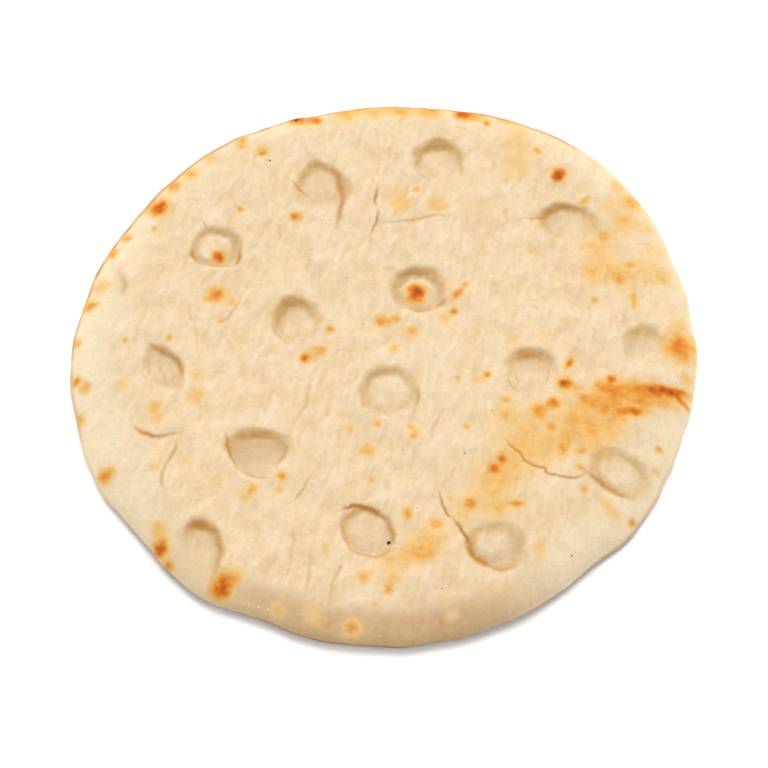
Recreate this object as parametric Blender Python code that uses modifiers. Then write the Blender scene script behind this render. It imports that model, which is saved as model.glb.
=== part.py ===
"""A pita bread of the flat, pocketless kind: one round baked dough, docked with dimples.

Metres, +Z up. The bread rests on its underside at Z = 0, and the origin is the
middle of its footprint.
"""

import math

import bmesh
import bpy
from mathutils import Vector

MM = 0.001

# The dough disc
EDGE_RADIUS = 89.3 * MM
THICKNESS = 7.4 * MM
RIM_HEIGHT = 2.6 * MM      # how high the furthest-out line of the rim lies
TOP_ROUNDING = 13.0 * MM   # how far in from the edge the top begins to fall
FOOT_ROUNDING = 3.6 * MM   # how far in from the edge the flat underside ends
TOP_FULLNESS = 2.3         # 2 is a plain elliptical shoulder, more is squarer
FOOT_FULLNESS = 2.0

# Where the rim leaves the circle: direction and reach in degrees, how far out in millimetres
RIM_BULGES = (
    (50, 26, 5.0),
    (30, 12, 1.1),
    (82, 16, -0.2),
    (104, 12, -0.8),
    (108.5, 2.2, 0.4),
    (123, 8, 0.4),
    (149, 10, -0.8),
    (182, 9, 1.1),
    (204, 7, 0.6),
    (221, 9, -1.4),
    (237, 7, 1.2),
    (247, 8, -1.4),
    (269, 15, 0.1),
    (299, 7, -0.6),
    (310, 7, -1.3),
    (321, 7, 0.9),
    (322, 26, -1.9),
    (342, 7, -0.6),
    (358, 10, 0.7),
    (13, 4, 0.8),
)

# How the rim's section changes round it: direction and reach in degrees, then how much
# the top's rounding widens and how high the rim line moves, in millimetres, and how much
# fuller the rounding gets
ROUNDING_SWELLS = (
    (265, 22, 4.0),
    (325, 26, 7.0),
    (198, 30, 7.0),
)
HEIGHT_SWELLS = (
    (325, 28, -1.5),
    (198, 32, -1.5),
)
FULLNESS_SWELLS = (
    (265, 24, -0.3),
    (325, 26, -0.6),
    (198, 30, -0.6),
)

# Slow rise and fall of the top: height, wavelength, direction, phase in degrees
TOP_WAVES = (
    (0.28 * MM, 118.0 * MM, 25.0, 40.0),
    (0.20 * MM, 74.0 * MM, 110.0, 200.0),
)

# Middle of the dimples and creases, from the middle of the footprint, in millimetres
PATTERN_MIDDLE = (0.1, -0.4)

# Each docking dimple in millimetres: middle x and y, width, length, turn in degrees, depth
DIMPLES = (
    (-19.2, 57.6, 14.5, 16.5, 8, 1.4),
    (16.5, 66.2, 15.5, 15.0, 0, 1.6),
    (54.8, 43.7, 18.0, 13.0, -8, 1.1),
    (-49.2, 34.3, 15.6, 14.8, 0, 1.2),
    (-77.0, 22.4, 5.0, 9.0, 10, 0.4),
    (10.3, 19.6, 16.6, 16.6, 0, 1.3),
    (-25.0, 9.0, 13.5, 16.0, 10, 1.4),
    (-62.3, -6.4, 9.5, 18.5, 33, 0.9),
    (1.5, -14.6, 17.0, 16.2, 0, 1.0),
    (41.7, -7.7, 16.0, 14.5, 0, 1.1),
    (74.5, -0.1, 12.5, 13.5, 20, 0.8),
    (-35.0, -34.2, 16.5, 15.0, -4, 1.2),
    (64.9, -39.9, 19.0, 13.5, -20, 1.1),
    (-49.0, -62.8, 11.0, 17.0, 6, 1.4),
    (-4.2, -56.4, 13.5, 17.5, 42, 1.3),
    (30.4, -62.2, 16.4, 15.2, 0, 1.3),
)

# Each crease in the skin, in millimetres: half width, and its route in x and y
CREASES = (
    (0.5, (33.4, -29.5), (37.1, -33.9), (39.7, -37.3), (45, -40.5), (52.1, -41.9), (56, -40.4)),
    (0.6, (14.8, -45.2), (16, -49.7), (19.1, -54.2), (22.4, -59.4), (24.3, -65)),
    (0.6, (-70, -25.6), (-67.1, -27.5), (-62.9, -28.8), (-56.6, -27.5)),
    (0.5, (-58.1, -30.4), (-57.6, -33.2), (-60.1, -38.5), (-60.9, -42.5), (-59.9, -45.5)),
    (0.5, (-1.8, 57), (-2.4, 52), (-1.9, 44), (-4.0, 38.5)),
    (0.5, (-2.2, 76.5), (-1.4, 70)),
)

TURNED_STEPS = 90
TOP_RINGS = (0.22, 0.44, 0.63, 0.77)      # rings on the flat top, as shares of the radius
FOOT_RINGS = (0.75, 0.45)
SHOULDER_STEPS = 7
FOOT_STEPS = 5

DIMPLE_SIDES = 20
DIMPLE_FLOOR = 0.55        # depth of the floor's raised middle, as a share of the deepest
DIMPLE_WALL = (            # the rest of a dimple's half section, as shares of its radius and depth
    (1.0, 0.0),
    (0.93, 0.14),
    (0.80, 0.62),
    (0.58, 1.0),
    (0.34, 0.78),
)
CUTTER_FLARE = 1.25        # how much wider than the dimple its cutter is above the skin
CUTTER_HEADROOM = 3.0 * MM
CREASE_TAPER = 0.5         # width of a crease's ends, as a share of its middle

CRUST_COLOUR = (0.84, 0.65, 0.41, 1.0)
CRUST_ROUGHNESS = 0.85


def clear_scene():
    for obj in list(bpy.data.objects):
        bpy.data.objects.remove(obj)


def new_collection(name):
    collection = bpy.data.collections.new(name)
    bpy.context.scene.collection.children.link(collection)
    return collection


def crust_material():
    material = bpy.data.materials.new("baked wheat crust")
    material.use_nodes = True
    shader = material.node_tree.nodes["Principled BSDF"]
    shader.inputs["Base Color"].default_value = CRUST_COLOUR
    shader.inputs["Roughness"].default_value = CRUST_ROUGHNESS
    shader.inputs["Metallic"].default_value = 0.0
    return material


def around_rim(angle, swells):
    """Sum of the swells that reach a direction given in radians."""
    total = 0.0
    for direction, reach, change in swells:
        away = (math.degrees(angle) - direction + 180.0) % 360.0 - 180.0
        total += change * math.exp(-((away / reach) ** 2))
    return total


def top_wave(x, y):
    """Height that the slow waves add to the top at a point."""
    height = 0.0
    for rise, wavelength, direction, phase in TOP_WAVES:
        turn = math.radians(direction)
        along = x * math.cos(turn) + y * math.sin(turn)
        height += rise * math.sin(2.0 * math.pi * along / wavelength + math.radians(phase))
    return height


def rounded(share, fullness):
    """Quarter of a superellipse: 0 at the rim and 1 where the rounding ends."""
    return (1.0 - (1.0 - share) ** fullness) ** (1.0 / fullness)


def half_section():
    """The dough's section from the middle of the top, round the rim, to the middle below."""
    points = [(0.0, THICKNESS)]
    points += [(EDGE_RADIUS * share, THICKNESS) for share in TOP_RINGS]
    for step in range(SHOULDER_STEPS, 0, -1):
        share = (step / SHOULDER_STEPS) ** 2
        height = RIM_HEIGHT + (THICKNESS - RIM_HEIGHT) * rounded(share, TOP_FULLNESS)
        points.append((EDGE_RADIUS - TOP_ROUNDING * share, height))
    for step in range(FOOT_STEPS + 1):
        share = (step / FOOT_STEPS) ** 2
        height = RIM_HEIGHT * (1.0 - rounded(share, FOOT_FULLNESS))
        points.append((EDGE_RADIUS - FOOT_ROUNDING * share, height))
    points += [(EDGE_RADIUS * share, 0.0) for share in FOOT_RINGS]
    points.append((0.0, 0.0))
    return points


def turned_object(name, section, steps, collection):
    """A closed body turned about Z from a half section that starts and ends on the axis."""
    mesh = bpy.data.meshes.new(name)
    edges = [(start, start + 1) for start in range(len(section) - 1)]
    mesh.from_pydata([(x, 0.0, z) for x, z in section], edges, [])
    obj = bpy.data.objects.new(name, mesh)
    collection.objects.link(obj)
    screw = obj.modifiers.new("turn", "SCREW")
    screw.axis = "Z"
    screw.steps = steps
    screw.render_steps = steps
    screw.use_merge_vertices = True
    screw.merge_threshold = 0.00001
    evaluated = obj.evaluated_get(bpy.context.evaluated_depsgraph_get())
    turned = bpy.data.meshes.new_from_object(evaluated)
    obj.modifiers.clear()
    obj.data = turned
    bpy.data.meshes.remove(mesh)
    return obj


def rim_height(angle):
    return RIM_HEIGHT + around_rim(angle, HEIGHT_SWELLS) * MM


def shoulder_height(angle, inward):
    """Height of the top's outside where it lies a given distance in from the circle."""
    width = TOP_ROUNDING + around_rim(angle, ROUNDING_SWELLS) * MM
    share = min(1.0, max(0.0, inward / width))
    fullness = TOP_FULLNESS + around_rim(angle, FULLNESS_SWELLS)
    rim = rim_height(angle)
    return rim + (THICKNESS - rim) * rounded(share, fullness)


def shape_dough(mesh):
    """Pushes the turned disc out to the uneven rim, lifts its top, and centres its footprint."""
    for vertex in mesh.vertices:
        x, y, z = vertex.co
        angle = math.atan2(y, x)
        if z > RIM_HEIGHT:
            z = shoulder_height(angle, EDGE_RADIUS - math.hypot(x, y))
        else:
            z *= rim_height(angle) / RIM_HEIGHT
        stretch = 1.0 + around_rim(angle, RIM_BULGES) * MM / EDGE_RADIUS
        top_share = max(0.0, (z - RIM_HEIGHT) / (THICKNESS - RIM_HEIGHT))
        x, y = x * stretch, y * stretch
        vertex.co = (x, y, z + top_share * top_wave(x, y))
    shift = Vector((0.0, 0.0, 0.0))
    for axis in (0, 1):
        places = [vertex.co[axis] for vertex in mesh.vertices]
        shift[axis] = -(min(places) + max(places)) / 2.0
    for vertex in mesh.vertices:
        vertex.co += shift


def on_the_skin(x, y):
    """The point of the top's skin at a place given in millimetres from the pattern's middle."""
    x = (x + PATTERN_MIDDLE[0]) * MM
    y = (y + PATTERN_MIDDLE[1]) * MM
    return Vector((x, y, THICKNESS + top_wave(x, y)))


def dimple_section(depth):
    """Half section of a docking pin's print: a moat round a raised middle, for a unit radius."""
    above = [(0.0, CUTTER_HEADROOM), (CUTTER_FLARE, CUTTER_HEADROOM)]
    wall = [(share, -down * depth) for share, down in DIMPLE_WALL]
    return above + wall + [(0.0, -DIMPLE_FLOOR * depth)]


def add_dimple_cutter(number, dimple, collection):
    x, y, width, length, turn, depth = dimple
    name = f"dimple_cutter_{number:02d}"
    cutter = turned_object(name, dimple_section(depth * MM), DIMPLE_SIDES, collection)
    turn = math.radians(turn)
    for vertex in cutter.data.vertices:
        across = vertex.co.x * width * MM / 2.0
        along = vertex.co.y * length * MM / 2.0
        vertex.co.x = across * math.cos(turn) - along * math.sin(turn)
        vertex.co.y = across * math.sin(turn) + along * math.cos(turn)
    cutter.location = on_the_skin(x, y)
    hide_cutter(cutter)


def add_crease_cutter(number, crease, collection):
    """A tapered tube along the crease, half sunk in the top skin."""
    half_width, *route = crease
    name = f"crease_cutter_{number:02d}"
    curve = bpy.data.curves.new(name, "CURVE")
    curve.dimensions = "3D"
    curve.bevel_depth = half_width * MM
    curve.bevel_resolution = 1
    curve.resolution_u = 3
    curve.use_fill_caps = True
    spline = curve.splines.new("BEZIER")
    spline.bezier_points.add(len(route) - 1)
    for index, (point, (x, y)) in enumerate(zip(spline.bezier_points, route)):
        point.co = on_the_skin(x, y)
        point.handle_left_type = "AUTO"
        point.handle_right_type = "AUTO"
        point.radius = CREASE_TAPER if index in (0, len(route) - 1) else 1.0
    tube = bpy.data.objects.new(name, curve)
    collection.objects.link(tube)
    evaluated = tube.evaluated_get(bpy.context.evaluated_depsgraph_get())
    mesh = bpy.data.meshes.new_from_object(evaluated)
    weld_caps(mesh)
    cutter = bpy.data.objects.new(name, mesh)
    cutter.matrix_world = tube.matrix_world
    bpy.data.objects.remove(tube)
    cutter.name = name
    collection.objects.link(cutter)
    hide_cutter(cutter)


def weld_caps(mesh):
    """Joins a tube's loose caps to its wall, so that it is one closed body."""
    work = bmesh.new()
    work.from_mesh(mesh)
    bmesh.ops.remove_doubles(work, verts=work.verts, dist=0.00001)
    work.to_mesh(mesh)
    work.free()


def hide_cutter(cutter):
    cutter.hide_render = True
    cutter.display_type = "WIRE"


def main():
    clear_scene()
    part = new_collection("pita_bread_part")
    cutters = new_collection("cutters")

    bread = turned_object("pita_bread", half_section(), TURNED_STEPS, part)
    shape_dough(bread.data)
    bread.data.materials.append(crust_material())

    for number, dimple in enumerate(DIMPLES, 1):
        add_dimple_cutter(number, dimple, cutters)
    for number, crease in enumerate(CREASES, 1):
        add_crease_cutter(number, crease, cutters)

    press = bread.modifiers.new("dimples and creases", "BOOLEAN")
    press.operation = "DIFFERENCE"
    press.solver = "EXACT"
    press.operand_type = "COLLECTION"
    press.collection = cutters

    bread.data.shade_smooth()
    bread.data.set_sharp_from_angle(angle=math.radians(50.0))


main()
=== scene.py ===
import math
import random
from functools import partial

import bmesh
import bpy
import numpy as np
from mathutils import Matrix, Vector, noise
from mathutils.bvhtree import BVHTree


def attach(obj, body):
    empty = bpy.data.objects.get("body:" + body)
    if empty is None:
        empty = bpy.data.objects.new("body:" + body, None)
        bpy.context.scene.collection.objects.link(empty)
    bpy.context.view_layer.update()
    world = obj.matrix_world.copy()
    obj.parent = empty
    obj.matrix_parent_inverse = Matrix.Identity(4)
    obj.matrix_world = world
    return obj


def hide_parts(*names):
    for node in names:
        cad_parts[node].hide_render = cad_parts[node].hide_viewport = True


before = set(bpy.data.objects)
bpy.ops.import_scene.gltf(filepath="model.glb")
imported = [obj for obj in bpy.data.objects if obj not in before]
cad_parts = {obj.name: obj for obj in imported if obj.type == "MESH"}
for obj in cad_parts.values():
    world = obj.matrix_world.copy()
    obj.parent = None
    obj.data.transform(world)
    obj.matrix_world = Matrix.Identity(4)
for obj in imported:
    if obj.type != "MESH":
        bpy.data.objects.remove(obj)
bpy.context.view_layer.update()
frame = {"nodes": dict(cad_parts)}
print("frame loaded:", ", ".join(frame["nodes"]))

mm = 0.001
noise.seed_set(7)      # noise_vector starts from the clock otherwise

def linearColour(hexText):
    channels = [int(hexText[i:i + 2], 16) / 255 for i in (1, 3, 5)]
    linear = [c / 12.92 if c <= 0.04045 else ((c + 0.055) / 1.055) ** 2.4 for c in channels]
    return (*linear, 1.0)


def addNode(tree, kind, *values, out=0, inputs=None, **settings):
    # kind is a node's type, with ShaderNode left off, or the operation of a sum; values fill its first inputs
    # in order, inputs fill others by name or number, and out is the output that comes back
    if kind.isupper():
        kind, settings["operation"] = "Math", kind
    made = tree.nodes.new(kind if "Node" in kind else "ShaderNode" + kind)
    for name, value in settings.items():
        setattr(made, name, value)
    for name, value in (*enumerate(values), *(inputs or {}).items()):
        if isinstance(value, bpy.types.NodeSocket):
            tree.links.new(value, made.inputs[name])
        else:
            made.inputs[name].default_value = value
    return made.outputs[out]


def nodeTools(tree):
    # what the trees are written with: any node, a product, a smooth fade and a bell-shaped hill
    add = partial(addNode, tree)

    def product(*factors):
        result = factors[0]
        for factor in factors[1:]:
            result = add("MULTIPLY", result, factor)
        return result

    def fade(value, start, end, most=1.0, least=0.0):
        # from least where the value is start to most where it is end
        return add("MapRange", value, start, end, least, most, interpolation_type="SMOOTHSTEP")

    def hill(value, width):
        share = add("DIVIDE", value, width)
        return add("EXPONENT", product(share, share, -1.0))

    return add, product, fade, hill


def newTree(name, sizes):
    # a geometry tree with one input for each named size
    tree = bpy.data.node_groups.new(name, "GeometryNodeTree")
    tree.interface.new_socket("Geometry", in_out="INPUT", socket_type="NodeSocketGeometry")
    for label, value in sizes.items():
        kind = {int: "NodeSocketInt", float: "NodeSocketFloat"}.get(type(value), "NodeSocketObject")
        kind = "NodeSocketMaterial" if isinstance(value, bpy.types.Material) else kind
        tree.interface.new_socket(label, in_out="INPUT", socket_type=kind)
    tree.interface.new_socket("Geometry", in_out="OUTPUT", socket_type="NodeSocketGeometry")
    return tree, tree.nodes.new("NodeGroupInput"), tree.nodes.new("NodeGroupOutput")


def applyTree(obj, tree, sizes):
    # sets the tree's inputs by identifier, and leaves obj with the plain mesh it makes
    modifier = obj.modifiers.new(tree.name, "NODES")
    modifier.node_group = tree
    for item in tree.interface.items_tree:
        if item.in_out == "INPUT" and item.name in sizes:
            modifier[item.identifier] = sizes[item.name]
    evaluated = obj.evaluated_get(bpy.context.evaluated_depsgraph_get())
    made = bpy.data.meshes.new_from_object(evaluated)
    obj.modifiers.clear()
    obj.data = made
    return obj


def newObject(name, mesh):
    obj = bpy.data.objects.new(name, mesh)
    bpy.context.scene.collection.objects.link(obj)
    return obj


# the dough disc; sizes in millimetres, angles in degrees
dough = {
    "edgeRadius": 89.3,
    "thickness": 7.4,
    "rimHeight": 2.6,        # how high the furthest-out line of the rim lies
    "topRounding": 13.0,     # how far in from the edge the top begins to fall
    "footRounding": 3.6,     # how far in from the edge the flat underside ends
    "topFullness": 2.3,
    "footFullness": 2.0,
    "topSpacing": 0.63,      # between neighbouring points of the top's mesh
    "seamSpacing": 0.26,
    "seamReach": 1.9,        # how far from the rim line the finer mesh goes
    "footSpacing": 1.9,
    "footWidening": 0.1,     # how fast the spacing grows under the bread
    # direction, reach and height of each place where the outline swells or draws in
    "rimBulges": ((50, 26, 5.0), (30, 12, 1.1), (82, 16, -0.2), (104, 12, -0.8), (108.5, 2.2, 0.4),
                  (123, 8, 0.4), (149, 10, -0.8), (182, 9, 1.1), (204, 7, 0.6), (221, 9, -1.4),
                  (237, 7, 1.2), (247, 8, -1.4), (269, 15, 0.1), (299, 7, -0.6), (310, 7, -1.3),
                  (321, 7, 0.9), (322, 26, -1.9), (342, 7, -0.6), (358, 10, 0.7), (13, 4, 0.8)),
    # the same for how far in the top begins to fall, how full its rounding is, and how high the rim lies
    "shoulderSwells": ((265, 22, 4.0), (325, 26, 7.0), (198, 30, 7.0)),
    "fullnessSwells": ((265, 24, -0.3), (325, 26, -0.6), (198, 30, -0.6)),
    "rimSwells": ((325, 28, -1.5), (198, 32, -1.5)),
    "patternMiddle": (0.1, -0.4),   # of the dimples, folds and browning, from the outline's middle
    "topWaves": ((0.28, 118, 25, 40), (0.20, 74, 110, 200)),   # height, wavelength, direction, phase
    "rimRaggedness": 0.5,
    "rimRaggedSize": 7.0,
    "rimRaggedFall": 8,      # how soon it dies away from the rim
}


def superellipse(share, fullness):
    return (1 - (1 - share) ** fullness) ** (1 / fullness)


def halfSection():
    # from the middle of the top, out over the rim and back to the middle below
    radius, height, rim = dough["edgeRadius"], dough["thickness"], dough["rimHeight"]
    shares = np.linspace(0, 1, 200) ** 2
    shoulder = np.column_stack((
        radius - dough["topRounding"] * shares,
        rim + (height - rim) * superellipse(shares, dough["topFullness"])))[::-1]
    foot = np.column_stack((
        radius - dough["footRounding"] * shares,
        rim * (1 - superellipse(shares, dough["footFullness"]))))
    return np.vstack(((0, height), shoulder, foot[1:], (0, 0)))


def ringStops():
    # places along the section for the mesh's rings: closer at the rim's seam, wider apart under the bread
    section = halfSection()
    along = np.concatenate(([0], np.cumsum(np.linalg.norm(np.diff(section, axis=0), axis=1))))
    footStart = along[-1] - (dough["edgeRadius"] - dough["footRounding"])
    rimLine = along[np.argmax(section[:, 0])]
    stops = [0.0]
    while stops[-1] < along[-1] - dough["footSpacing"] / 2:
        under = max(0.0, stops[-1] - footStart)
        spacing = min(dough["footSpacing"], dough["topSpacing"] + dough["footWidening"] * under)
        if abs(stops[-1] - rimLine) < dough["seamReach"]:
            spacing = dough["seamSpacing"]
        stops.append(stops[-1] + spacing)
    stops = np.array(stops) * along[-1] / stops[-1]
    sideways = np.maximum(np.gradient(stops), dough["topSpacing"])
    return np.interp(stops, along, section[:, 0]), np.interp(stops, along, section[:, 1]), sideways


def zipRings(firstA, countA, firstB, countB, turnA, turnB, faces):
    # triangles between two rings of any counts, each ring starting at its own turn
    spent = 9.0              # past any turn
    a = b = 0
    while a < countA or b < countB:
        nextA = (a + 1) / countA + turnA if a < countA else spent
        nextB = (b + 1) / countB + turnB if b < countB else spent
        cornerA, cornerB = firstA + a % countA, firstB + b % countB
        if nextA < nextB:
            faces.append((cornerA, cornerB, firstA + (a + 1) % countA))
            a += 1
        else:
            faces.append((cornerA, cornerB, firstB + (b + 1) % countB))
            b += 1


def aroundRim(angles, usual, swells):
    # a size that changes smoothly round the rim
    degrees = np.degrees(angles)
    size = np.full_like(degrees, usual)
    for direction, reach, change in swells:
        away = (degrees - direction + 180) % 360 - 180
        size += change * np.exp(-(away / reach) ** 2)
    return size


def edgeAt(angles):
    return aroundRim(angles, dough["edgeRadius"], dough["rimBulges"])


def topWave(x, y):
    height = np.zeros_like(x)
    for rise, wavelength, direction, phase in dough["topWaves"]:
        turn = math.radians(direction)
        along = x * math.cos(turn) + y * math.sin(turn)
        height += rise * np.sin(2 * math.pi * along / wavelength + math.radians(phase))
    return height


def buildDough():
    radii, heights, spacings = ringStops()
    points, faces = [np.array([[0.0, 0.0, dough["thickness"]]])], []
    first, count, turn = 0, 1, 0.0
    for number in range(1, len(radii)):
        last = number == len(radii) - 1
        newCount = 1 if last else max(6, round(2 * math.pi * radii[number] / spacings[number]))
        newTurn = 0.5 * (number % 2) / newCount
        angles = 2 * math.pi * (np.arange(newCount) / newCount + newTurn)
        points.append(np.column_stack((
            radii[number] * np.cos(angles), radii[number] * np.sin(angles),
            np.full(newCount, heights[number]))))
        newFirst = first + count
        if count == 1:
            faces += [(first, newFirst + j, newFirst + (j + 1) % newCount) for j in range(newCount)]
        elif last:
            faces += [(first + j, newFirst, first + (j + 1) % count) for j in range(count)]
        else:
            zipRings(first, count, newFirst, newCount, turn, newTurn, faces)
        first, count, turn = newFirst, newCount, newTurn
    points = np.vstack(points)

    angles = np.arctan2(points[:, 1], points[:, 0])
    share = np.hypot(points[:, 0], points[:, 1]) / dough["edgeRadius"]
    usualRim = dough["rimHeight"]
    rim = aroundRim(angles, usualRim, dough["rimSwells"])
    rise = dough["thickness"] - rim
    rounding = aroundRim(angles, dough["topRounding"], dough["shoulderSwells"])
    inward = dough["edgeRadius"] * (1 - share) / rounding
    fullness = aroundRim(angles, dough["topFullness"], dough["fullnessSwells"])
    shoulder = rim + rise * superellipse(np.clip(inward, 0, 1), fullness)
    points[:, 2] = np.where(points[:, 2] > usualRim, shoulder, points[:, 2] * rim / usualRim)
    edge, ragged = dough["edgeRadius"], dough["rimRaggedSize"]
    rough = np.array([noise.noise(Vector((edge * math.cos(a), edge * math.sin(a), z)) / ragged)
                      for a, z in zip(angles, points[:, 2])])
    rough = dough["rimRaggedness"] * rough * share ** dough["rimRaggedFall"]
    stretch = (edgeAt(angles) + rough) / edge
    points[:, 0] *= stretch
    points[:, 1] *= stretch
    rimLine = np.linspace(-math.pi, math.pi, 720)
    outline = edgeAt(rimLine)
    for axis, wave in ((0, np.cos(rimLine)), (1, np.sin(rimLine))):
        points[:, axis] -= (min(outline * wave) + max(outline * wave)) / 2
    topShare = np.clip((points[:, 2] - rim) / rise, 0, 1)
    points[:, 2] += topShare * topWave(points[:, 0], points[:, 1])

    mesh = bpy.data.meshes.new("pita_bread_crust")
    mesh.from_pydata(points * mm, [], faces)
    store(mesh, "topShare", topShare)
    store(mesh, "rimShare", share)
    return newObject("pita_bread_crust", mesh)


def store(mesh, name, values):
    attribute = mesh.attributes.get(name) or mesh.attributes.new(name, "FLOAT", "POINT")
    attribute.data.foreach_set("value", np.asarray(values, np.float32))


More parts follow.
